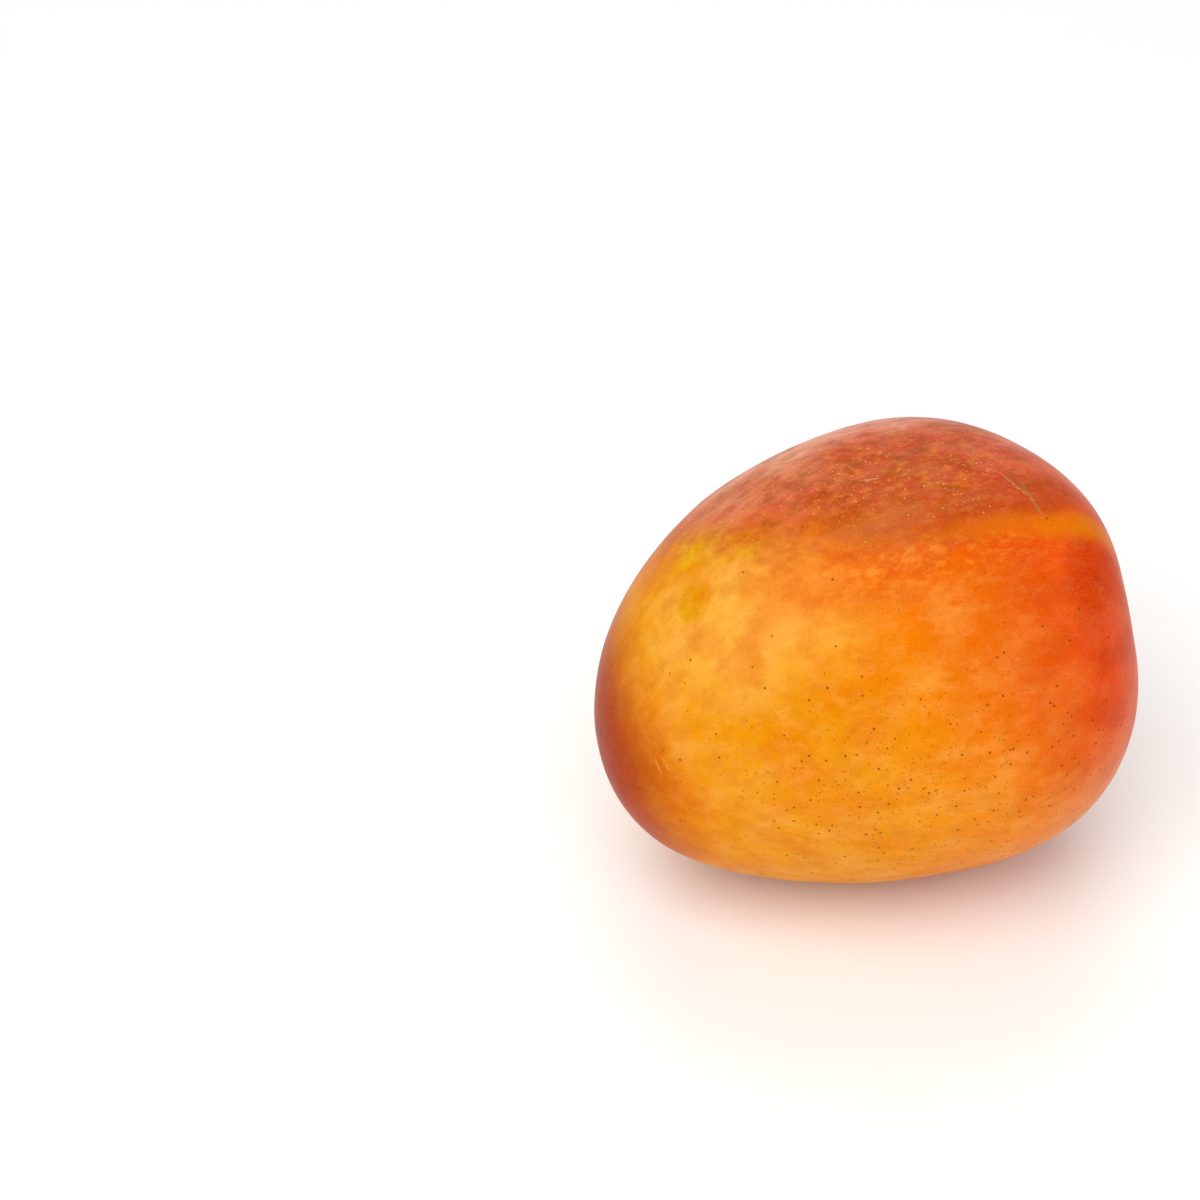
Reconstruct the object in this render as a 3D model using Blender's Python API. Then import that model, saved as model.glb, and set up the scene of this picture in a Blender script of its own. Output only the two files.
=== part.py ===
"""A mango as picked, lying on one of its flatter cheeks, with the dry stub of its stem.

Metres, +Z up. The origin is the middle of the small flat spot that the fruit rests on. +X runs along the
fruit towards its broad stem end, and +Y towards its fuller side, the belly.
"""

from dataclasses import dataclass
from math import atan2, cos, pi, radians, sin, sqrt

import bmesh
import bpy
import numpy as np
from mathutils import Matrix, Vector

MM = 0.001

# Driving dimensions: half lengths in mm, from the middle of the fruit
STEM_HALF = 50.6
APEX_HALF = 61.9
BELLY_HALF = 50.4
BACK_HALF = 46.0
CHEEK_HALF = 44.6

# How full the form is along its length: 2 is an ellipse, more is boxier
FULLNESS = 2.2
# How softly one half runs into the other, as a share of the half length
HALF_BLEND = 0.25
# How much wider and thicker the stem end is than the middle
STEM_WIDENING = 0.134
STEM_THICKENING = 0.108
# How far each end leans to the belly side and up, in mm at the stem's distance from the middle
STEM_LEAN = (1.7, -0.25)
APEX_LEAN = (-1.9, -3.25)

# How the fruit lies, in degrees: its stem end and its belly side are raised
PITCH = -2.1
ROLL = 13.2

# The stem's pit and stub, in mm and degrees
STEM_TURN = -6.0
STEM_RISE = -3.0
PIT_DEPTH = 3.0
PIT_RADIUS = 7.0
STUB_RADIUS = 2.6
STUB_HEIGHT = 2.7
STUB_TOP_SCALE = 0.86

# The flat spot is where this much of the rounded underside is taken off, in mm
FLAT_DEPTH = 0.6
SHORTEST_EDGE = 0.12

# The mesh: segments round the stem's axis, and rings from the stem to the apex
SEGMENTS = 48
RINGS = 44
STUB_RING = 2
SHARP_ANGLE = radians(40)

SKIN_COLOUR = (0.90, 0.36, 0.03, 1.0)
SKIN_ROUGHNESS = 0.42


@dataclass(frozen=True)
class Swelling:
    """A soft rise of the surface, or a hollow where its height is below zero."""

    toward: tuple[float, float, float]
    height: float
    spread: float


def direction(turn: float, rise: float) -> Vector:
    """The unit direction this many degrees round from +X and up from level."""
    turn, rise = radians(turn), radians(rise)
    return Vector((cos(turn) * cos(rise), sin(turn) * cos(rise), sin(rise)))


STEM = direction(STEM_TURN, STEM_RISE)

# Heights in mm, spreads in radians as seen from the middle of the fruit
BASIN = Swelling(tuple(direction(-17.9, 19.3)), -2.7, 0.23)
PIT = Swelling(tuple(STEM), -PIT_DEPTH, PIT_RADIUS / STEM_HALF)
TOP_SHOULDER = Swelling((1.0, -0.35, 0.9), 2.85, 0.45)
LOW_SHOULDER = Swelling((1.0, -0.6, -0.55), 2.1, 0.4)
CHIN = Swelling((-1.0, -0.15, -0.75), 1.7, 0.3)
APEX_CHEEK = Swelling((-1.0, -0.6, -0.2), -1.8, 0.4)
APEX_BROW = Swelling((-0.8, 0.3, 0.8), 2.1, 0.5)
SOLE = Swelling((-0.225, -0.084, -1.0), 2.15, 0.35)
SWELLINGS = (BASIN, PIT, TOP_SHOULDER, LOW_SHOULDER, CHIN, APEX_CHEEK, APEX_BROW, SOLE)


def half(toward: np.ndarray, plus: float, minus: float) -> np.ndarray:
    """One half length running softly into the other as a direction crosses the middle."""
    share = 0.5 * (1 + toward / np.sqrt(toward**2 + HALF_BLEND**2))
    return minus + (plus - minus) * share


def fruit_surface(toward: np.ndarray) -> np.ndarray:
    """Where rays from the middle of the fruit leave it.

    Args:
        toward: unit directions, one to a row.

    Returns:
        The points in mm, in the fruit's own frame: x to the stem, y to the belly, z to the upper cheek.
    """
    x, y, z = toward.T
    length = half(x, STEM_HALF, APEX_HALF)
    width = half(y, BELLY_HALF, BACK_HALF)
    across = np.sqrt((y / width) ** 2 + (z / CHEEK_HALF) ** 2)
    reach = (across**FULLNESS + np.abs(x / length) ** FULLNESS) ** (-1 / FULLNESS)
    points = toward * reach[:, None]
    along = points[:, 0] / STEM_HALF
    points[:, 1] *= 1 + STEM_WIDENING * along
    points[:, 2] *= 1 + STEM_THICKENING * along
    points[:, 1:] += np.where(along[:, None] > 0, STEM_LEAN, APEX_LEAN) * along[:, None] ** 2
    for swelling in SWELLINGS:
        middle = np.array(swelling.toward) / np.linalg.norm(swelling.toward)
        away = np.arccos(np.clip(toward @ middle, -1, 1))
        points += toward * (swelling.height * np.exp(-((away / swelling.spread) ** 2)))[:, None]
    return points


def ring_angle(ring: int) -> float:
    """The angle of a ring from the stem's axis, with the rings closer together near the stem."""
    crowding = np.log(STUB_RADIUS / STEM_HALF / pi) / np.log(STUB_RING / RINGS)
    return pi * (ring / RINGS) ** crowding


def ring_of(vertex: bmesh.types.BMVert) -> int:
    """Which ring of the unit sphere a vertex is on, from 0 at the pole that becomes the stem."""
    x, y, z = vertex.co
    return round(RINGS * atan2(sqrt(x * x + y * y), z) / pi)


def shape_fruit(fruit: bmesh.types.BMesh) -> None:
    """Moves each vertex of a unit sphere, whose pole is at the stem, onto the fruit."""
    to_stem = Vector((0, 0, 1)).rotation_difference(STEM)
    rays = []
    for vertex in fruit.verts:
        angle = ring_angle(ring_of(vertex))
        turn = atan2(vertex.co.y, vertex.co.x)
        ray = Vector((sin(angle) * cos(turn), sin(angle) * sin(turn), cos(angle)))
        rays.append(to_stem @ ray)
    for vertex, point in zip(fruit.verts, fruit_surface(np.array(rays, float))):
        vertex.co = Vector(point) * MM


def raise_stub(fruit: bmesh.types.BMesh, cap: list[bmesh.types.BMFace]) -> None:
    """Draws the faces round the pole out of the pit as the stem's short dry stub."""
    for face in cap:
        face.normal_update()
    axis = sum((face.normal * face.calc_area() for face in cap), Vector()).normalized()
    drawn = bmesh.ops.extrude_face_region(fruit, geom=cap)["geom"]
    top = [item for item in drawn if isinstance(item, bmesh.types.BMVert)]
    bmesh.ops.delete(fruit, geom=cap, context="FACES")
    middle = sum((vertex.co for vertex in top), Vector()) / len(top)
    for vertex in top:
        flat = vertex.co - middle
        flat -= axis * (flat @ axis)
        vertex.co = middle + flat * STUB_TOP_SCALE + axis * STUB_HEIGHT * MM


def lay_down(fruit: bmesh.types.BMesh) -> None:
    """Turns the fruit to how it lies, and presses its underside flat where it touches."""
    pose = Matrix.Rotation(radians(PITCH), 4, "Y") @ Matrix.Rotation(radians(ROLL), 4, "X")
    bmesh.ops.transform(fruit, matrix=pose, verts=fruit.verts)
    lowest = min(vertex.co.z for vertex in fruit.verts)
    bmesh.ops.translate(fruit, vec=(0, 0, -lowest - FLAT_DEPTH * MM), verts=fruit.verts)
    everything = fruit.verts[:] + fruit.edges[:] + fruit.faces[:]
    bmesh.ops.bisect_plane(fruit, geom=everything, plane_no=(0, 0, -1), dist=0.0, clear_outer=True)
    rim = [edge for edge in fruit.edges if edge.is_boundary]
    bmesh.ops.dissolve_degenerate(fruit, dist=SHORTEST_EDGE * MM, edges=rim)
    rim = [edge for edge in fruit.edges if edge.is_boundary]
    flat = bmesh.ops.contextual_create(fruit, geom=rim)["faces"][0]
    flat.smooth = False
    for edge in flat.edges:
        edge.smooth = False
    middle = flat.calc_center_median()
    bmesh.ops.translate(fruit, vec=(-middle.x, -middle.y, 0), verts=fruit.verts)


def skin_material() -> bpy.types.Material:
    """Golden orange mango skin with a satin finish."""
    material = bpy.data.materials.new("mango_skin")
    material.use_nodes = True
    shader = material.node_tree.nodes["Principled BSDF"]
    shader.inputs["Base Color"].default_value = SKIN_COLOUR
    shader.inputs["Roughness"].default_value = SKIN_ROUGHNESS
    shader.inputs["Metallic"].default_value = 0.0
    return material


def make_mango() -> bpy.types.Object:
    """The whole fruit as one closed body."""
    fruit = bmesh.new()
    bmesh.ops.create_uvsphere(fruit, u_segments=SEGMENTS, v_segments=RINGS, radius=1.0)
    cap = [face for face in fruit.faces if all(ring_of(vertex) <= STUB_RING for vertex in face.verts)]
    shape_fruit(fruit)
    raise_stub(fruit, cap)
    for face in fruit.faces:
        face.smooth = True
    for edge in fruit.edges:
        edge.smooth = edge.calc_face_angle(0.0) < SHARP_ANGLE
    lay_down(fruit)
    bmesh.ops.recalc_face_normals(fruit, faces=fruit.faces)
    mesh = bpy.data.meshes.new("mango")
    fruit.to_mesh(mesh)
    fruit.free()
    mesh.materials.append(skin_material())
    mango = bpy.data.objects.new("mango", mesh)
    bpy.context.scene.collection.objects.link(mango)
    return mango


def clear_scene() -> None:
    """Removes what a new scene starts with."""
    for thing in list(bpy.data.objects):
        bpy.data.objects.remove(thing, do_unlink=True)


def main() -> None:
    """Clears the scene and makes the mango."""
    clear_scene()
    make_mango()


main()
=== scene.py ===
"""The looks of a ripe mango as picked, lying on one of its flatter cheeks.

Sizes and places are in mm unless a comment says otherwise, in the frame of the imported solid: the origin is
the middle of the flat spot that the fruit rests on, +X runs along the fruit to its broad stem end, +Y to its
fuller side, the belly, and +Z up. Meshes are made in metres.
"""

import logging
from dataclasses import dataclass, field
from enum import Enum
from math import cos, pi, radians, sin

import bmesh
import bpy
import numpy as np
from mathutils import Matrix, Vector, noise


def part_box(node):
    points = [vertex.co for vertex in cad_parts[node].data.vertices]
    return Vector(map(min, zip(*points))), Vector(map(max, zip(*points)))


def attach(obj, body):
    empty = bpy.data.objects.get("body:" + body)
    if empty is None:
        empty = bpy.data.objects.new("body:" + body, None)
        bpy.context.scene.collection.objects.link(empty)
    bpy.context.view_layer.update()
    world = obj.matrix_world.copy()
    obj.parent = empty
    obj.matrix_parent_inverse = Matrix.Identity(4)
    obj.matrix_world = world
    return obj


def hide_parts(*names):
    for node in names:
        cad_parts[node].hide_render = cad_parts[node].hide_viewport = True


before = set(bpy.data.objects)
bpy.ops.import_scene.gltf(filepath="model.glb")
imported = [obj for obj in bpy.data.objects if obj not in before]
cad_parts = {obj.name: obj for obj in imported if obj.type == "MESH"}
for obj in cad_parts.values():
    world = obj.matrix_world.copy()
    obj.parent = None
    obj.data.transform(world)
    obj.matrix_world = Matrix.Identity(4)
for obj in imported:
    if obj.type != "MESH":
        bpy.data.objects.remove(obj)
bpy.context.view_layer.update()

MM = 0.001
NODE = "mango"
BODY = "root"

log = logging.getLogger("mango")

Place = tuple[float, float, float]

# The Mix node has its colour sockets at these places
MIX_FACTOR = 0
MIX_UNDER = 6
MIX_OVER = 7
MIX_RESULT = 2

# Blender's noise keeps mostly between these
NOISE_LOW = 0.25
NOISE_HIGH = 0.75


def linear(code: str) -> tuple[float, float, float, float]:
    """Turns an sRGB hex colour to linear.

    Args:
        code: the colour as "#RRGGBB".

    Returns:
        Red, green, blue and an alpha of 1.
    """
    channels = [int(code[i : i + 2], 16) / 255 for i in (1, 3, 5)]
    low, high = 12.92, 1.055
    turned = [c / low if c <= 0.04045 else ((c + high - 1) / high) ** 2.4 for c in channels]
    return (*turned, 1.0)


def add_node(tree: bpy.types.NodeTree, kind: str, sockets: dict, **settings: object) -> bpy.types.Node:
    """Adds a node with its settings, values and links.

    Args:
        tree: the node tree that it goes into.
        kind: the node's type.
        sockets: what its inputs take, by name or number: another node's output, or a value.
        settings: the node's own properties.

    Returns:
        The new node.
    """
    node = tree.nodes.new(kind)
    for name, value in settings.items():
        setattr(node, name, value)
    for name, value in sockets.items():
        if isinstance(value, bpy.types.NodeSocket):
            tree.links.new(value, node.inputs[name])
        else:
            node.inputs[name].default_value = value
    return node


def finish_piece(name: str, mesh: bmesh.types.BMesh, material: bpy.types.Material) -> bpy.types.Object:
    """Turns a bmesh into a smooth-shaded piece that rides on the fruit's body.

    Args:
        name: the piece's name.
        mesh: its shape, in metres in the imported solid's frame. It is freed.
        material: its finish.

    Returns:
        The piece's object, which sits at the origin.
    """
    for face in mesh.faces:
        face.smooth = True
    bmesh.ops.recalc_face_normals(mesh, faces=mesh.faces[:])
    data = bpy.data.meshes.new(name)
    mesh.to_mesh(data)
    mesh.free()
    data.materials.append(material)
    piece = bpy.data.objects.new(name, data)
    bpy.context.scene.collection.objects.link(piece)
    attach(piece, BODY)
    log.info("%s: %d faces", name, len(data.polygons))
    return piece


@dataclass(frozen=True)
class Swelling:
    """A soft rise of the surface, or a hollow where its height is below zero."""

    toward: Place
    height: float
    # In radians, as seen from the middle of the fruit
    spread: float


def direction(turn: float, rise: float) -> Vector:
    """The unit direction this many degrees round from +X and up from level.

    Args:
        turn: degrees round from +X.
        rise: degrees above level.

    Returns:
        The direction.
    """
    turn, rise = radians(turn), radians(rise)
    return Vector((cos(turn) * cos(rise), sin(turn) * cos(rise), sin(rise)))


STEM = direction(-6.0, -3.0)
STEM_HALF = 50.6
PIT_DEPTH = 3.0
PIT_RADIUS = 7.0


@dataclass(frozen=True)
class FruitForm:
    """The fruit's lopsided oval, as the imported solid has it.

    Its own frame starts at the middle of the fruit, with x to the stem, y to the belly and z to the upper
    cheek.
    """

    stem_half: float = STEM_HALF
    apex_half: float = 61.9
    belly_half: float = 50.4
    back_half: float = 46.0
    cheek_half: float = 44.6
    # Along its length: 2 is an ellipse, more is boxier
    fullness: float = 2.2
    half_blend: float = 0.25
    stem_widening: float = 0.134
    stem_thickening: float = 0.108
    stem_lean: tuple[float, float] = (1.7, -0.25)
    apex_lean: tuple[float, float] = (-1.9, -3.25)
    # How it lies, in degrees
    pitch: float = -2.1
    roll: float = 13.2
    basin: Swelling = Swelling(tuple(direction(-17.9, 19.3)), -2.7, 0.23)
    pit: Swelling = Swelling(tuple(STEM), -PIT_DEPTH, PIT_RADIUS / STEM_HALF)
    shoulders: tuple[Swelling, ...] = (
        Swelling((1.0, -0.35, 0.9), 2.85, 0.45),
        Swelling((1.0, -0.6, -0.55), 2.1, 0.4),
    )
    apex_bumps: tuple[Swelling, ...] = (
        Swelling((-1.0, -0.15, -0.75), 1.7, 0.3),
        Swelling((-1.0, -0.6, -0.2), -1.8, 0.4),
        Swelling((-0.8, 0.3, 0.8), 2.1, 0.5),
    )
    sole: Swelling = Swelling((-0.225, -0.084, -1.0), 2.15, 0.35)

    def half(self, toward: np.ndarray, plus: float, minus: float) -> np.ndarray:
        """One half length running softly into the other as a direction crosses the middle.

        Args:
            toward: one coordinate of unit directions.
            plus: the half length where it is above zero.
            minus: the half length where it is below zero.

        Returns:
            The half length in each direction.
        """
        share = 0.5 * (1 + toward / np.sqrt(toward**2 + self.half_blend**2))
        return minus + (plus - minus) * share

    def surface(self, toward: np.ndarray) -> np.ndarray:
        """Where rays from the middle of the fruit leave it.

        Args:
            toward: unit directions, one to a row.

        Returns:
            The points in the fruit's own frame.
        """
        x, y, z = toward.T
        length = self.half(x, self.stem_half, self.apex_half)
        width = self.half(y, self.belly_half, self.back_half)
        across = np.sqrt((y / width) ** 2 + (z / self.cheek_half) ** 2)
        reach = (across**self.fullness + np.abs(x / length) ** self.fullness) ** (-1 / self.fullness)
        points = toward * reach[:, None]
        along = points[:, 0] / self.stem_half
        points[:, 1] *= 1 + self.stem_widening * along
        points[:, 2] *= 1 + self.stem_thickening * along
        points[:, 1:] += np.where(along[:, None] > 0, self.stem_lean, self.apex_lean) * along[:, None] ** 2
        for swelling in (self.basin, self.pit, *self.shoulders, *self.apex_bumps, self.sole):
            middle = np.array(swelling.toward) / np.linalg.norm(swelling.toward)
            away = np.arccos(np.clip(toward @ middle, -1, 1))
            points += toward * (swelling.height * np.exp(-((away / swelling.spread) ** 2)))[:, None]
        return points

    def lie(self) -> Matrix:
        """The turn from the fruit's own frame to how it lies."""
        return Matrix.Rotation(radians(self.pitch), 3, "Y") @ Matrix.Rotation(radians(self.roll), 3, "X")


class Edge(Enum):
    """How a patch of colour ends: over what share of its reach it fades, and how far the mottle frays it."""

    STIPPLED = (0.5, 0.26)
    CRISP = (0.25, 0.1)
    SOFT = (0.6, 0.16)
    CLOUDY = (1.1, 0.16)


@dataclass(frozen=True)
class Stain:
    """A patch of another colour on the skin."""

    colour: str
    middle: Place
    # Half its size each way, where it is half faded
    reach: Place
    strength: float = 1.0
    edge: Edge = Edge.SOFT
    # Degrees about +Z
    turn: float = 0.0
    # How much of it the mottle breaks up, from 0 to 1
    broken: float = 0.3
    # False where its border runs straight, as along a leaf that kept the sun off
    wanders: bool = True


@dataclass(frozen=True)
class Cloud:
    """Another colour that comes and goes all over a part of the skin."""

    colour: str
    # From one cloud to the next
    size: float
    # The share of the skin that it covers, from 0 to 1
    cover: float
    strength: float
    seed: float


@dataclass(frozen=True)
class Scratch:
    """A fine line on the skin from one place to another."""

    colour: str
    start: Place
    end: Place
    width: float
    strength: float = 0.6


@dataclass(frozen=True)
class Pores:
    """Lenticels: the dots that the skin breathes through."""

    colour: str
    # The side of the cube that holds one pore on average, which sets how densely they show
    spacing: float
    radius: float
    strength: float


@dataclass(frozen=True)
class WaxyBlushedSkin:
    """Ripe mango skin, grown and not made: a smooth cuticle of wax over golden flesh, red where the sun was.

    The wax gives the eye a broad satin gloss with no sharp highlight. The pale film at grazing angles along
    the top and the stem shoulder, and a paler patch on the upper flank, are painted into the colour as
    painted sheen and painted highlight.
    """

    # The ground colour from the apex to the stem end, by x and a share of z: it is redder to the stem and up
    ripening_slope: float = 0.35
    ripening: tuple[tuple[float, str], ...] = (
        (-45.0, "#E08000"),
        (-25.0, "#E89800"),
        (0.0, "#E48C00"),
        (25.0, "#E06400"),
        (50.0, "#C45008"),
    )
    ground_stains_and_highlight: tuple[Stain, ...] = (
        # A paler patch on the upper flank, partly paler wax and partly a painted broad soft highlight, and
        # the deep gold below it
        Stain("#ECB048", (-37.0, -15.0, 76.0), (22.0, 13.0, 20.0), 0.8, Edge.CLOUDY, turn=-20.0),
        Stain("#D08000", (-30.0, -28.0, 54.0), (22.0, 22.0, 16.0), 0.6, Edge.CLOUDY),
        # The spot and the streak that were the last to lose their green
        Stain("#DC9C00", (-42.5, -4.5, 72.0), (3.4, 5.0, 6.0), 1.0, Edge.CRISP, turn=-20.0, wanders=False),
        Stain("#E4B000", (-32.0, 2.0, 80.0), (20.0, 6.0, 7.0), 0.9, Edge.SOFT, turn=-33.0),
        # Paler wax low on the flank, to either side
        Stain("#E89828", (-24.0, -45.0, 35.0), (33.0, 8.0, 23.0), 0.5, Edge.CLOUDY, turn=-33.0),
        Stain("#F09420", (12.0, -42.0, 30.0), (23.0, 8.0, 28.0), 0.55, Edge.CLOUDY, turn=10.0),
    )
    # The orange rim of the sun's blush
    rim: Stain = Stain("#DC5800", (-6.0, -22.0, 90.0), (46.0, 8.0, 14.0), 0.75, Edge.CLOUDY, turn=-8.0)
    rim_clouds: tuple[Cloud, ...] = (
        Cloud("#C84000", 3.5, 0.45, 0.6, 11.0),
        Cloud("#F4A038", 1.4, 0.4, 0.6, 12.0),
    )
    # The tip: a deeper russet red-orange, darkened further with painted shade along the apex end
    apex_russet_and_painted_shade: tuple[Stain, ...] = (
        Stain("#A83400", (-61.0, 0.0, 22.0), (13.0, 24.0, 28.0), 0.95, Edge.CLOUDY, turn=8.0, broken=0.0),
        Stain("#9C2400", (-57.0, 9.0, 40.0), (12.0, 28.0, 20.0), 0.85, Edge.CLOUDY, turn=-26.0, broken=0.1),
    )
    stem_blush: Stain = Stain(
        "#E83800", (48.0, -33.0, 65.0), (33.0, 35.0, 40.0), 0.8, Edge.CLOUDY, broken=0.1
    )
    stem_stains_and_sheen: tuple[Stain, ...] = (
        # Darker just below the pale band, pink at the shoulder, which is partly pink skin and partly a
        # painted sheen of grazing light, and pale low down
        Stain("#C83800", (30.0, -31.0, 78.0), (4.0, 13.0, 13.0), 0.9, Edge.CLOUDY, turn=-17.0),
        Stain("#D46040", (44.0, -22.0, 67.0), (10.0, 23.0, 15.0), 0.9, Edge.CLOUDY, turn=-10.0),
        Stain("#E8AC70", (27.0, -32.0, 31.0), (20.0, 12.0, 21.0), 0.4, Edge.CLOUDY),
    )
    sun_blush: Stain = Stain(
        "#BE0C00", (5.0, 30.0, 92.0), (46.0, 45.0, 60.0), 0.92, Edge.STIPPLED, broken=0.2
    )
    blush_stains_and_sheen: tuple[Stain, ...] = (
        # The pink bloom of wax over the red, thicker at the far side, and along the top edge and shoulder a
        # painted pale sheen where grazing light meets the wax
        Stain("#EC8868", (14.0, 22.0, 83.0), (38.0, 21.0, 9.0), 0.85, Edge.CLOUDY, turn=-15.0),
        Stain("#F8AC9C", (10.0, 30.0, 86.0), (40.0, 14.0, 8.0), 0.85, Edge.CLOUDY, turn=-6.0, broken=0.0),
        Stain("#F4B48C", (-22.0, 23.0, 84.0), (19.0, 15.0, 10.0), 0.65, Edge.CLOUDY, broken=0.0),
        Stain("#DC7C70", (36.0, 3.0, 80.0), (20.0, 15.0, 12.0), 0.5, Edge.CLOUDY, turn=15.0),
        # Olive where the red lies over ground that stayed green, and the darkest red, above the pale band
        Stain("#A05C1C", (-1.0, -3.0, 88.0), (18.0, 14.0, 5.0), 0.6, Edge.CLOUDY, turn=12.0),
        Stain("#A83408", (22.0, -15.0, 87.0), (18.0, 6.0, 8.0), 0.7, Edge.SOFT, turn=12.0, wanders=False),
    )
    # The paler skin and the cork round the stalk, and the dot that the flower left at the apex
    scars: tuple[Stain, ...] = (
        Stain("#DC9A1C", (50.5, -4.4, 43.3), (7.0, 9.0, 9.0), 0.55, Edge.CLOUDY, wanders=False),
        Stain("#8A5E2C", (49.5, -4.4, 43.3), (3.4, 3.9, 3.9), 0.9, Edge.STIPPLED, wanders=False),
        Stain("#5C3208", (-59.8, 1.9, 41.9), (1.6, 1.3, 1.3), 0.85, Edge.SOFT, wanders=False),
    )
    # Where a leaf kept the sun off, in two lengths that follow its bend
    pale_band: tuple[Stain, ...] = (
        Stain("#DD7700", (35.0, -20.7, 80.0), (14.0, 2.7, 11.0), 0.9, Edge.CLOUDY, turn=9.5, wanders=False),
        Stain("#DD7000", (17.0, -21.0, 82.0), (15.0, 2.8, 9.0), 0.65, Edge.CLOUDY, turn=-7.0, wanders=False),
    )
    ground_clouds: tuple[Cloud, ...] = (
        Cloud("#EAA448", 7.0, 0.4, 0.42, 1.0),
        Cloud("#D86400", 10.0, 0.45, 0.45, 2.0),
        Cloud("#ECA650", 2.0, 0.35, 0.2, 3.0),
        Cloud("#CC6C00", 3.0, 0.4, 0.35, 4.0),
    )
    sun_clouds: tuple[Cloud, ...] = (
        Cloud("#D06C50", 5.0, 0.5, 0.55, 5.0),
        Cloud("#B42C00", 6.0, 0.5, 0.6, 10.0),
        Cloud("#7A4200", 2.6, 0.4, 0.52, 6.0),
        Cloud("#E48C38", 1.3, 0.35, 0.5, 7.0),
    )
    stem_clouds: tuple[Cloud, ...] = (
        Cloud("#D86440", 3.0, 0.4, 0.4, 8.0),
        Cloud("#B02400", 7.0, 0.45, 0.5, 9.0),
    )
    scratches: tuple[Scratch, ...] = (
        Scratch("#A87840", (23.6, -8.6, 89.2), (24.2, -20.7, 86.0), 0.9, 0.9),
        Scratch("#B08050", (21.0, -7.7, 89.9), (23.3, -14.6, 88.2), 0.7, 0.8),
        Scratch("#7A4A18", (22.6, -5.0, 89.8), (24.6, -17.0, 87.2), 0.5, 0.8),
        Scratch("#C89060", (20.6, -11.0, 89.2), (24.6, -15.5, 87.6), 0.3, 0.6),
        Scratch("#E0B088", (-5.6, 0.0, 89.7), (-1.9, -1.4, 90.2), 0.4, 0.7),
        Scratch("#D89868", (-4.6, -0.9, 89.8), (-3.0, -1.4, 90.0), 0.3, 0.6),
        Scratch("#B06400", (3.4, -47.1, 49.2), (5.7, -47.1, 51.4), 0.6),
        Scratch("#A86008", (13.4, -47.0, 38.1), (20.2, -46.4, 40.1), 0.7),
        Scratch("#7A4000", (18.4, -47.0, 43.0), (19.4, -46.8, 43.6), 0.8, 0.8),
        Scratch("#EEB060", (-56.4, -16.3, 47.0), (-55.5, -18.3, 44.3), 0.6, 0.35),
        Scratch("#EEB060", (-55.3, -17.7, 48.0), (-54.4, -19.8, 45.3), 0.6, 0.35),
        Scratch("#964400", (-55.1, -13.7, 28.1), (-53.9, -16.9, 29.6), 0.4),
    )
    dark_pores: Pores = Pores("#6A3400", 1.9, 0.36, 0.8)
    small_pores: Pores = Pores("#8A4C00", 1.1, 0.25, 0.6)
    pale_pores: Pores = Pores("#E6A050", 1.1, 0.3, 0.6)
    # The middle of a pore that is of one colour, as a share of its radius
    pore_core: float = 0.45
    # The share of dark pores that shows, by z and by x: from where to where, and from what to what
    pores_by_height: tuple[float, float, float, float] = (82.0, 45.0, 0.12, 0.75)
    pores_by_length: tuple[float, float, float, float] = (-55.0, -15.0, 0.3, 1.0)
    # The share of pale pores that shows in the blush
    pale_share: float = 0.7
    # Typical of plant wax
    ior: float = 1.42
    gloss: float = 0.06
    # The light goes through a little of the skin's colour before it comes back
    gloss_tint: str = "#FFD8A8"
    # From where the mottle is thin to where it is thick
    roughness: tuple[float, float] = (0.32, 0.41)
    # How much light the flesh under the skin lends it, how deep it goes, and the share of it by colour
    flesh_glow: float = 0.05
    flesh_depth: float = 2.0
    flesh_colours: tuple[float, float, float] = (1.0, 0.4, 0.1)
    # How far borders wander, and the sizes of their bends, of the mottle and of the grain
    bend: float = 14.0
    wander: float = 9.0
    mottle: float = 2.6
    grain: float = 0.9
    # How far clouds are drawn out along the fruit, as its skin grew, and how softly they end
    drawing_out: Place = (0.6, 1.0, 1.0)
    cloud_fade: float = 0.12
    # The mottle's values between which it breaks up a stain
    breaking: tuple[float, float] = (0.35, 0.65)
    # Cells of the skin, which are really a few hundredths of a mm across, drawn coarser to show at all
    cells: float = 0.45
    pale_cells: str = "#F09C38"
    dark_cells: str = "#A84E00"
    cell_strength: float = 0.22
    # How high the mottle and the grain stand out, and how deep dark pores are
    mottle_height: float = 0.02
    grain_height: float = 0.02
    pore_depth: float = 0.03
    # A scratch's colour reaches this far in and out, so that it shows all along the curved skin
    scratch_reach: float = 4.0
    # Over what share of its half sizes a scratch fades, and where the grain leaves gaps in it
    scratch_fade: tuple[float, float] = (0.4, 1.4)
    scratch_gaps: tuple[float, float, float, float] = (0.35, 0.6, 0.3, 1.0)
    # The middle of the fruit, which scratches face away from
    heart: Place = (0.0, 0.0, 45.0)

    def material(self) -> bpy.types.Material:
        """The skin as a material on Object coordinates.

        Returns:
            The material.
        """
        material = bpy.data.materials.new("mango_cuticle_waxy_blushed")
        material.use_nodes = True
        SkinPainter(self, material.node_tree).paint()
        return material


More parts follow.
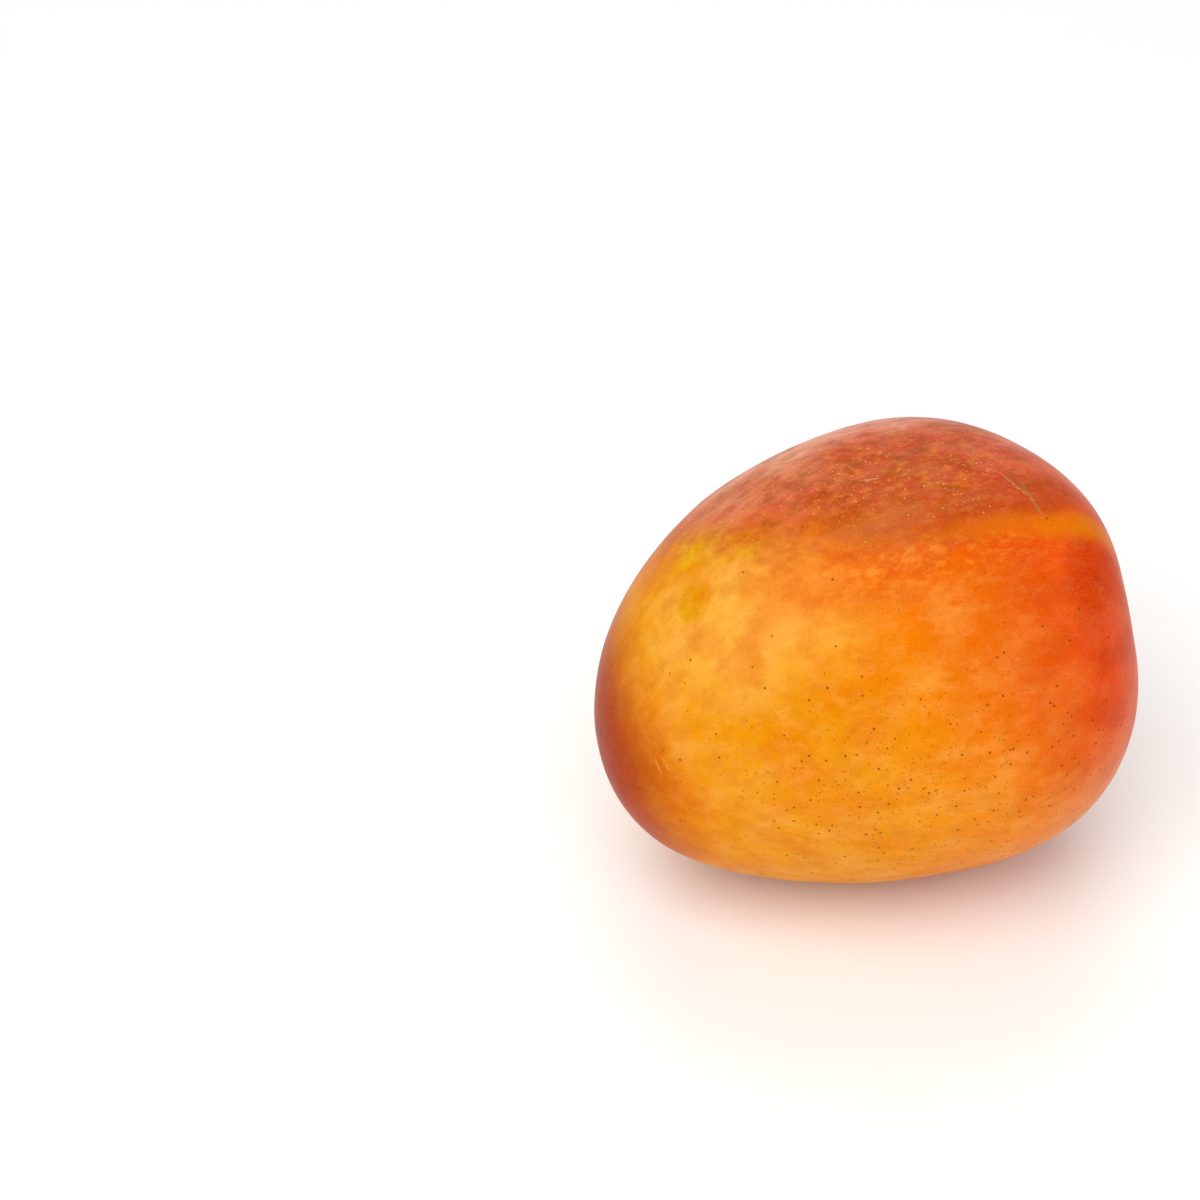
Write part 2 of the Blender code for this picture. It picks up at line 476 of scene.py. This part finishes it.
class SkinPainter:
    """Lays the skin's colours one over another in a node tree."""

    def __init__(self, skin: WaxyBlushedSkin, tree: bpy.types.NodeTree) -> None:
        """Makes the places that the patterns read.

        Args:
            skin: the finish to paint.
            tree: the material's node tree.
        """
        self.skin = skin
        self.tree = tree
        coordinates = add_node(tree, "ShaderNodeTexCoord", {})
        metres = coordinates.outputs["Object"]
        scaled = add_node(tree, "ShaderNodeVectorMath", {0: metres, "Scale": 1 / MM}, operation="SCALE")
        self.place = scaled.outputs[0]
        drift = self.noise(skin.bend, detail=3.0, output="Color")
        centred = add_node(tree, "ShaderNodeVectorMath", {0: drift, 1: (0.5, 0.5, 0.5)}, operation="SUBTRACT")
        moved = add_node(
            tree, "ShaderNodeVectorMath", {0: centred.outputs[0], "Scale": skin.wander}, operation="SCALE"
        )
        wandering = add_node(
            tree, "ShaderNodeVectorMath", {0: self.place, 1: moved.outputs[0]}, operation="ADD"
        )
        self.wandering = wandering.outputs[0]
        drawn_out = add_node(
            tree, "ShaderNodeVectorMath", {0: self.place, 1: skin.drawing_out}, operation="MULTIPLY"
        )
        self.drawn_out = drawn_out.outputs[0]
        self.mottle = self.noise(skin.mottle, detail=4.0, roughness=0.6)
        self.grain = self.noise(skin.grain, detail=2.0)
        # What has been laid so far
        self.colour: bpy.types.NodeSocket | None = None

    def noise(
        self,
        size: float,
        detail: float = 3.0,
        roughness: float = 0.5,
        seed: float = 0.0,
        output: str = "Fac",
        place: bpy.types.NodeSocket | None = None,
    ) -> bpy.types.NodeSocket:
        """Adds noise.

        Args:
            size: how many mm from one cloud to the next.
            detail: how many finer layers it has.
            roughness: how strong the finer layers are.
            seed: what tells it from noise of the same size.
            output: "Fac" for one number or "Color" for three.
            place: where it is read, if not at the plain place in mm.

        Returns:
            The noise, from 0 to 1 with most of it near a half.
        """
        node = add_node(
            self.tree,
            "ShaderNodeTexNoise",
            {
                "Vector": place or self.place,
                "W": seed,
                "Scale": 1 / size,
                "Detail": detail,
                "Roughness": roughness,
            },
            noise_dimensions="4D",
        )
        return node.outputs[output]

    def ramp(
        self, value: bpy.types.NodeSocket, start: float, end: float, first: float, last: float
    ) -> bpy.types.NodeSocket:
        """A smooth step from one value to another.

        Args:
            value: what it follows.
            start: where the step starts.
            end: where it ends.
            first: what it gives up to the start.
            last: what it gives past the end.

        Returns:
            The stepped value.
        """
        node = add_node(
            self.tree,
            "ShaderNodeMapRange",
            {"Value": value, "From Min": start, "From Max": end, "To Min": first, "To Max": last},
            interpolation_type="SMOOTHSTEP",
        )
        return node.outputs["Result"]

    def times(
        self, first: bpy.types.NodeSocket, second: bpy.types.NodeSocket | float
    ) -> bpy.types.NodeSocket:
        """One value times another."""
        node = add_node(self.tree, "ShaderNodeMath", {0: first, 1: second}, operation="MULTIPLY")
        return node.outputs[0]

    def cover(self, colour: str, mask: bpy.types.NodeSocket) -> None:
        """Lays a colour over what is there.

        Args:
            colour: the new colour as sRGB hex.
            mask: how much of it shows, from 0 to 1.
        """
        sockets = {MIX_FACTOR: mask, MIX_UNDER: self.colour, MIX_OVER: linear(colour)}
        self.colour = add_node(self.tree, "ShaderNodeMix", sockets, data_type="RGBA").outputs[MIX_RESULT]

    def stain_mask(self, stain: Stain) -> bpy.types.NodeSocket:
        """Where a stain shows.

        Args:
            stain: its place and border.

        Returns:
            The mask, from 0 to the stain's strength.
        """
        inside = add_node(
            self.tree,
            "ShaderNodeMapping",
            {
                "Vector": self.wandering if stain.wanders else self.place,
                "Location": stain.middle,
                "Rotation": (0.0, 0.0, radians(stain.turn)),
                "Scale": stain.reach,
            },
            vector_type="TEXTURE",
        )
        away = add_node(
            self.tree, "ShaderNodeVectorMath", {0: inside.outputs[0]}, operation="LENGTH"
        ).outputs["Value"]
        fade, fray = stain.edge.value
        frayed = add_node(
            self.tree, "ShaderNodeMath", {0: self.mottle, 1: 2 * fray, 2: away}, operation="MULTIPLY_ADD"
        ).outputs[0]
        border = 1 + fray
        mask = self.ramp(frayed, border - fade / 2, border + fade / 2, stain.strength, 0.0)
        broken = self.ramp(self.mottle, *self.skin.breaking, 1 - stain.broken, 1.0)
        return self.times(mask, broken)

    def cloud_mask(self, cloud: Cloud) -> bpy.types.NodeSocket:
        """Where a cloud of colour shows.

        Args:
            cloud: its size and how much it covers.

        Returns:
            The mask, from 0 to the cloud's strength.
        """
        middle = NOISE_HIGH - cloud.cover * (NOISE_HIGH - NOISE_LOW)
        fade = self.skin.cloud_fade
        billows = self.noise(cloud.size, detail=4.0, roughness=0.55, seed=cloud.seed, place=self.drawn_out)
        return self.ramp(billows, middle - fade, middle + fade, 0.0, cloud.strength)

    def scratch_mask(self, scratch: Scratch) -> bpy.types.NodeSocket:
        """Where a scratch shows.

        Args:
            scratch: its ends and width.

        Returns:
            The mask, from 0 to the scratch's strength, and patchy along it.
        """
        start, end = Vector(scratch.start), Vector(scratch.end)
        middle = (start + end) / 2
        along = (end - start).normalized()
        across = along.cross(middle - Vector(self.skin.heart)).normalized()
        lie = Matrix((along, across, along.cross(across))).transposed().to_euler()
        inside = add_node(
            self.tree,
            "ShaderNodeMapping",
            {
                "Vector": self.place,
                "Location": middle,
                "Rotation": lie,
                "Scale": ((end - start).length / 2, scratch.width / 2, self.skin.scratch_reach),
            },
            vector_type="TEXTURE",
        )
        away = add_node(
            self.tree, "ShaderNodeVectorMath", {0: inside.outputs[0]}, operation="LENGTH"
        ).outputs["Value"]
        mask = self.ramp(away, *self.skin.scratch_fade, scratch.strength, 0.0)
        return self.times(mask, self.ramp(self.grain, *self.skin.scratch_gaps))

    def pore_mask(self, pores: Pores, share: bpy.types.NodeSocket) -> bpy.types.NodeSocket:
        """Where pores show, from 0 to their strength.

        Args:
            pores: their sizes.
            share: the share of them that shows at each place.

        Returns:
            The mask.
        """
        cells = add_node(
            self.tree, "ShaderNodeTexVoronoi", {"Vector": self.place, "Scale": 1 / pores.spacing}
        )
        radius = pores.radius / pores.spacing
        core = radius * self.skin.pore_core
        dots = self.ramp(cells.outputs["Distance"], core, radius, pores.strength, 0.0)
        chosen = add_node(
            self.tree, "ShaderNodeMath", {0: cells.outputs["Color"], 1: share}, operation="LESS_THAN"
        )
        return self.times(dots, chosen.outputs[0])

    def ripening_ground(self) -> None:
        """The ground colour, golden at the apex and ever redder to the stem end."""
        axis = (1.0, 0.0, self.skin.ripening_slope)
        ripe = add_node(
            self.tree, "ShaderNodeVectorMath", {0: self.wandering, 1: axis}, operation="DOT_PRODUCT"
        ).outputs["Value"]
        stops = self.skin.ripening
        low, high = stops[0][0], stops[-1][0]
        along = add_node(
            self.tree, "ShaderNodeMapRange", {"Value": ripe, "From Min": low, "From Max": high}
        )
        node = add_node(self.tree, "ShaderNodeValToRGB", {0: along.outputs["Result"]})
        elements = node.color_ramp.elements
        while len(elements) < len(stops):
            elements.new(0.5)
        for element, (x, colour) in zip(elements, stops):
            element.position = (x - low) / (high - low)
            element.color = linear(colour)
        self.colour = node.outputs["Color"]

    def lay_stains(self, stains: tuple[Stain, ...]) -> None:
        """Lays stains one over another."""
        for stain in stains:
            self.cover(stain.colour, self.stain_mask(stain))

    def lay_blush(
        self, blush: Stain, stains: tuple[Stain, ...], clouds: tuple[Cloud, ...]
    ) -> bpy.types.NodeSocket:
        """Lays a broad stain, other stains over it, and clouds that keep within it.

        Args:
            blush: the broad stain.
            stains: what lies over it, also past its border.
            clouds: what comes and goes within it.

        Returns:
            The broad stain's mask.
        """
        within = self.stain_mask(blush)
        self.cover(blush.colour, within)
        self.lay_stains(stains)
        for cloud in clouds:
            self.cover(cloud.colour, self.times(self.cloud_mask(cloud), within))
        return within

    def lay_pores(self, sunned: bpy.types.NodeSocket) -> bpy.types.NodeSocket:
        """Lays the pores: pale ones in the sun's blush, and dark ones mostly low down.

        Args:
            sunned: the mask of the sun's blush.

        Returns:
            The larger dark pores' mask.
        """
        skin = self.skin
        pale = self.pore_mask(skin.pale_pores, self.times(sunned, skin.pale_share))
        self.cover(skin.pale_pores.colour, pale)
        place = add_node(self.tree, "ShaderNodeSeparateXYZ", {0: self.place})
        low_down = self.ramp(place.outputs["Z"], *skin.pores_by_height)
        to_stem = self.ramp(place.outputs["X"], *skin.pores_by_length)
        share = self.times(low_down, to_stem)
        self.cover(skin.small_pores.colour, self.pore_mask(skin.small_pores, share))
        dark = self.pore_mask(skin.dark_pores, share)
        self.cover(skin.dark_pores.colour, dark)
        return dark

    def lay_cells(self) -> None:
        """Lays the finest grain over all."""
        skin = self.skin
        cells = self.noise(skin.cells, detail=2.0, roughness=0.7)
        for colour, end in ((skin.pale_cells, NOISE_HIGH), (skin.dark_cells, NOISE_LOW)):
            self.cover(colour, self.ramp(cells, 0.5, end, 0.0, skin.cell_strength))

    def relief(self, dark: bpy.types.NodeSocket) -> bpy.types.NodeSocket:
        """The skin's fine relief.

        Args:
            dark: the mask of the pores that are sunk in.

        Returns:
            The surface's direction.
        """
        skin = self.skin
        grained = self.times(self.grain, skin.grain_height)
        mottled = add_node(
            self.tree,
            "ShaderNodeMath",
            {0: self.mottle, 1: skin.mottle_height, 2: grained},
            operation="MULTIPLY_ADD",
        )
        pitted = add_node(
            self.tree,
            "ShaderNodeMath",
            {0: dark, 1: -skin.pore_depth, 2: mottled.outputs[0]},
            operation="MULTIPLY_ADD",
        )
        bump = add_node(self.tree, "ShaderNodeBump", {"Height": pitted.outputs[0], "Distance": MM})
        return bump.outputs["Normal"]

    def paint(self) -> None:
        """Lays all the colours, then the gloss and the relief."""
        skin = self.skin
        self.ripening_ground()
        # Stains of the ground colour, with a painted broad highlight on the upper flank
        self.lay_stains(skin.ground_stains_and_highlight)
        for cloud in skin.ground_clouds:
            self.cover(cloud.colour, self.cloud_mask(cloud))
        self.lay_blush(skin.rim, (), skin.rim_clouds)
        # The russet tip, darkened with painted shade at the apex end
        self.lay_stains(skin.apex_russet_and_painted_shade)
        # The stem end's blush, with a painted pink sheen at its shoulder
        self.lay_blush(skin.stem_blush, skin.stem_stains_and_sheen, skin.stem_clouds)
        # The sun's blush, with a painted pale sheen along its top edge and shoulder
        sunned = self.lay_blush(skin.sun_blush, skin.blush_stains_and_sheen, skin.sun_clouds)
        self.lay_stains(skin.pale_band + skin.scars)
        dark = self.lay_pores(sunned)
        for scratch in skin.scratches:
            self.cover(scratch.colour, self.scratch_mask(scratch))
        self.lay_cells()
        normal = self.relief(dark)
        rough = self.ramp(self.mottle, 0.0, 1.0, *skin.roughness)
        shader = self.tree.nodes["Principled BSDF"]
        for name, value in {
            "IOR": skin.ior,
            "Specular IOR Level": skin.gloss,
            "Specular Tint": linear(skin.gloss_tint),
            "Subsurface Weight": skin.flesh_glow,
            "Subsurface Radius": skin.flesh_colours,
            "Subsurface Scale": skin.flesh_depth * MM,
        }.items():
            shader.inputs[name].default_value = value
        self.tree.links.new(self.colour, shader.inputs["Base Color"])
        self.tree.links.new(rough, shader.inputs["Roughness"])
        self.tree.links.new(normal, shader.inputs["Normal"])


@dataclass(frozen=True)
class DryStalk:
    """The dead stalk: fibrous wood that weathered and dried.

    It gives the eye a matt grey brown with dark streaks.
    """

    bark: str = "#A8845A"
    fibre: str = "#54381E"
    roughness: float = 0.85
    fibre_width: float = 0.35
    fibre_length: float = 3.0
    fibre_height: float = 0.15

    def material(self) -> bpy.types.Material:
        """The stalk as a material on Object coordinates.

        Returns:
            The material.
        """
        material = bpy.data.materials.new("dry_mango_stalk_fibrous")
        material.use_nodes = True
        tree = material.node_tree
        place = add_node(tree, "ShaderNodeTexCoord", {}).outputs["Object"]
        along, across = 1 / (self.fibre_length * MM), 1 / (self.fibre_width * MM)
        stretched = add_node(
            tree, "ShaderNodeMapping", {"Vector": place, "Scale": (along, across, across)}
        )
        streaks = add_node(
            tree, "ShaderNodeTexNoise", {"Vector": stretched.outputs[0], "Scale": 1.0, "Detail": 3.0}
        ).outputs["Fac"]
        mix = add_node(
            tree,
            "ShaderNodeMix",
            {MIX_FACTOR: streaks, MIX_UNDER: linear(self.fibre), MIX_OVER: linear(self.bark)},
            data_type="RGBA",
        )
        bump = add_node(
            tree, "ShaderNodeBump", {"Height": streaks, "Distance": self.fibre_height * MM}
        )
        shader = tree.nodes["Principled BSDF"]
        shader.inputs["Roughness"].default_value = self.roughness
        tree.links.new(mix.outputs[MIX_RESULT], shader.inputs["Base Color"])
        tree.links.new(bump.outputs["Normal"], shader.inputs["Normal"])
        return material


@dataclass
class MangoSkin:
    """The whole outside of the fruit but its stem stub."""

    form: FruitForm = field(default_factory=FruitForm)
    finish: WaxyBlushedSkin = field(default_factory=WaxyBlushedSkin)
    # Cuts across each side of the cube that is blown up to the fruit
    cuts: int = 118
    # The faint unevenness of grown skin: how high, and how far from one rise to the next
    lump_height: float = 0.22
    lump_size: float = 17.0
    dimple_height: float = 0.05
    dimple_size: float = 5.0
    shift: Vector = field(default_factory=Vector)

    def relief(self, points: np.ndarray) -> np.ndarray:
        """How far the skin stands out from the smooth form.

        Args:
            points: points of the form, one to a row.

        Returns:
            A height for each.
        """
        rises = [
            self.lump_height * noise.noise(Vector(point) / self.lump_size)
            + self.dimple_height * noise.noise(Vector(point) / self.dimple_size)
            for point in points
        ]
        return np.array(rises)

    def build(self) -> bpy.types.Object:
        """Blows a finely cut cube up to the fruit's form and lays it down.

        Returns:
            The skin's piece.
        """
        skin = bmesh.new()
        bmesh.ops.create_cube(skin, size=2.0)
        bmesh.ops.subdivide_edges(skin, edges=skin.edges[:], cuts=self.cuts, use_grid_fill=True)
        corners = np.array([vertex.co for vertex in skin.verts])
        # Even angles between the cuts keep the faces near one size
        rays = np.tan(corners * pi / 4)
        rays /= np.linalg.norm(rays, axis=1)[:, None]
        points = self.form.surface(rays)
        points += rays * self.relief(points)[:, None]
        points = points @ np.array(self.form.lie()).T
        low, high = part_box(NODE)
        middle = (low + high) / (2 * MM)
        own = (points.min(axis=0) + points.max(axis=0)) / 2
        self.shift = Vector((middle.x - own[0], middle.y - own[1], high.z / MM - points[:, 2].max()))
        points += np.array(self.shift)
        points[:, 2] = np.maximum(points[:, 2], 0.0)
        for vertex, point in zip(skin.verts, points):
            vertex.co = Vector(point) * MM
        piece = finish_piece("mango_skin", skin, self.finish.material())
        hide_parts(NODE)
        return piece


@dataclass
class StemStub:
    """The short dry stub of the stem that stands in the pit."""

    skin: MangoSkin
    finish: DryStalk = field(default_factory=DryStalk)
    radius: float = 2.6
    height: float = 2.7
    top_scale: float = 0.86
    sunk: float = 1.2
    # How far its foot widens into the skin
    flare: float = 0.5
    # The broken end: rings as shares of its radius, how far it domes, and how high its middle stands
    end_rings: tuple[float, ...] = (0.85, 0.6, 0.3)
    dome: float = 0.25
    end_middle: float = 0.1
    # How uneven the side is, as a share of the radius, and how ragged the broken end
    side_unevenness: float = 0.09
    raggedness: float = 0.3
    # How many bumps to a mm round the side, along it, and on the broken end
    side_bumps: float = 1.4
    long_bumps: float = 0.35
    end_bumps: float = 1.1
    # What lies this close under the top is part of the broken end
    end_depth: float = 0.2
    steps: int = 36
    rings: int = 9
    same_place: float = 0.01

    def profile(self) -> list[Vector]:
        """Half the stub's outline, from the middle of its foot to the middle of its end.

        Returns:
            The outline's points, with the stub standing along +Z.
        """
        points = [Vector((0.0, 0.0, -self.sunk))]
        for ring in range(self.rings + 1):
            share = ring / self.rings
            radius = self.radius * (1 + (self.top_scale - 1) * share) + self.flare * (1 - share) ** 3
            points.append(Vector((radius, 0.0, -self.sunk + (self.height + self.sunk) * share)))
        top = points[-1]
        for share in self.end_rings:
            points.append(Vector((top.x * share, 0.0, top.z + self.dome * (1 - share))))
        points.append(Vector((0.0, 0.0, top.z + self.end_middle)))
        return points

    def build(self) -> bpy.types.Object:
        """Spins the stub's side and roughens its broken end.

        Returns:
            The stub's piece.
        """
        stub = bmesh.new()
        chain = [stub.verts.new(point) for point in self.profile()]
        edges = [stub.edges.new(pair) for pair in zip(chain, chain[1:])]
        bmesh.ops.spin(
            stub,
            geom=chain + edges,
            cent=(0.0, 0.0, 0.0),
            axis=(0.0, 0.0, 1.0),
            angle=2 * pi,
            steps=self.steps,
            use_merge=True,
        )
        bmesh.ops.remove_doubles(stub, verts=stub.verts[:], dist=self.same_place)
        for vertex in stub.verts:
            x, y, z = vertex.co
            rough = noise.noise(Vector((x * self.side_bumps, y * self.side_bumps, z * self.long_bumps)))
            vertex.co += Vector((x, y, 0.0)) * self.side_unevenness * rough
            if z > self.height - self.end_depth:
                vertex.co.z += self.raggedness * noise.noise(vertex.co * self.end_bumps)
        form = self.skin.form
        base = Vector(form.surface(np.array([STEM]))[0])
        turned = Vector((0.0, 0.0, 1.0)).rotation_difference(STEM).to_matrix()
        lie = form.lie()
        for vertex in stub.verts:
            vertex.co = (lie @ (turned @ vertex.co + base) + self.skin.shift) * MM
        return finish_piece("stem_stub", stub, self.finish.material())


@dataclass(frozen=True)
class Lamp:
    """A large square softbox that faces the fruit."""

    name: str
    # Degrees round from the camera, to its right, and up from level
    turn: float
    rise: float
    # Metres and watts
    distance: float
    side: float
    power: float
    colour: str = "#FFFFFF"


@dataclass(frozen=True)
class Studio:
    """A plain pale floor, plain soft light, and a camera where the photograph was taken from."""

    # The floor is board with matt white paint, which gives the eye no gloss; half its side is in metres
    floor_colour: str = "#FCFCFA"
    floor_roughness: float = 0.8
    floor_half: float = 3.0
    floor_gap: float = 0.2
    sky_colour: str = "#FFFFFF"
    sky_strength: float = 0.35
    # The camera: degrees round from looking along +Y, degrees up, then mm
    turn: float = -22.15
    rise: float = 34.0
    distance: float = 700.0
    lens: float = 87.4
    aim: Place = (-18.7, 103.7, 0.0)
    lamps: tuple[Lamp, ...] = (
        Lamp("key", -28.0, 52.0, 1.3, 1.2, 14.0),
        Lamp("fill", 55.0, 25.0, 1.6, 1.2, 6.0),
        Lamp("rim", 180.0, 50.0, 1.5, 1.2, 7.5),
    )

    def back(self, turn: float, rise: float) -> Vector:
        """The direction from the object to a camera or lamp.

        Args:
            turn: degrees round from a view along +Y.
            rise: degrees above level.

        Returns:
            The unit direction.
        """
        turn, rise = radians(turn), radians(rise)
        return Vector((sin(turn) * cos(rise), -cos(turn) * cos(rise), sin(rise)))

    def build(self) -> None:
        """Makes the camera, the floor, the sky and the lamps."""
        scene = bpy.context.scene
        scene.view_settings.view_transform = "Standard"
        camera = bpy.data.objects.new("camera", bpy.data.cameras.new("camera"))
        camera.data.lens = self.lens
        toward = self.back(self.turn, self.rise)
        camera.location = (Vector(self.aim) + toward * self.distance) * MM
        camera.rotation_euler = toward.to_track_quat("Z", "Y").to_euler()
        scene.collection.objects.link(camera)
        scene.camera = camera
        self.build_floor()
        self.build_sky()
        for lamp in self.lamps:
            self.build_lamp(lamp)

    def build_floor(self) -> None:
        """Makes the floor, a hair under the flat spot."""
        plane = bmesh.new()
        bmesh.ops.create_grid(plane, x_segments=1, y_segments=1, size=self.floor_half)
        data = bpy.data.meshes.new("floor")
        plane.to_mesh(data)
        plane.free()
        floor = bpy.data.objects.new("floor", data)
        floor.location.z = -self.floor_gap * MM
        material = bpy.data.materials.new("painted_board_matt_white")
        material.use_nodes = True
        shader = material.node_tree.nodes["Principled BSDF"]
        shader.inputs["Base Color"].default_value = linear(self.floor_colour)
        shader.inputs["Roughness"].default_value = self.floor_roughness
        data.materials.append(material)
        bpy.context.scene.collection.objects.link(floor)

    def build_sky(self) -> None:
        """Makes the even pale light from all round."""
        world = bpy.data.worlds.new("studio")
        world.use_nodes = True
        sky = world.node_tree.nodes["Background"]
        sky.inputs["Color"].default_value = linear(self.sky_colour)
        sky.inputs["Strength"].default_value = self.sky_strength
        bpy.context.scene.world = world

    def build_lamp(self, lamp: Lamp) -> None:
        """Makes one softbox.

        Args:
            lamp: its sizes and place.
        """
        light = bpy.data.lights.new(lamp.name, "AREA")
        light.size = lamp.side
        light.energy = lamp.power
        light.color = linear(lamp.colour)[:3]
        softbox = bpy.data.objects.new(lamp.name, light)
        toward = self.back(self.turn + lamp.turn, lamp.rise)
        softbox.location = toward * lamp.distance
        softbox.rotation_euler = toward.to_track_quat("Z", "Y").to_euler()
        bpy.context.scene.collection.objects.link(softbox)


def main() -> None:
    """Builds the studio, the skin and the stub."""
    logging.basicConfig(level=logging.INFO)
    Studio().build()
    skin = MangoSkin()
    skin.build()
    StemStub(skin).build()


if __name__ == "__main__":
    main()
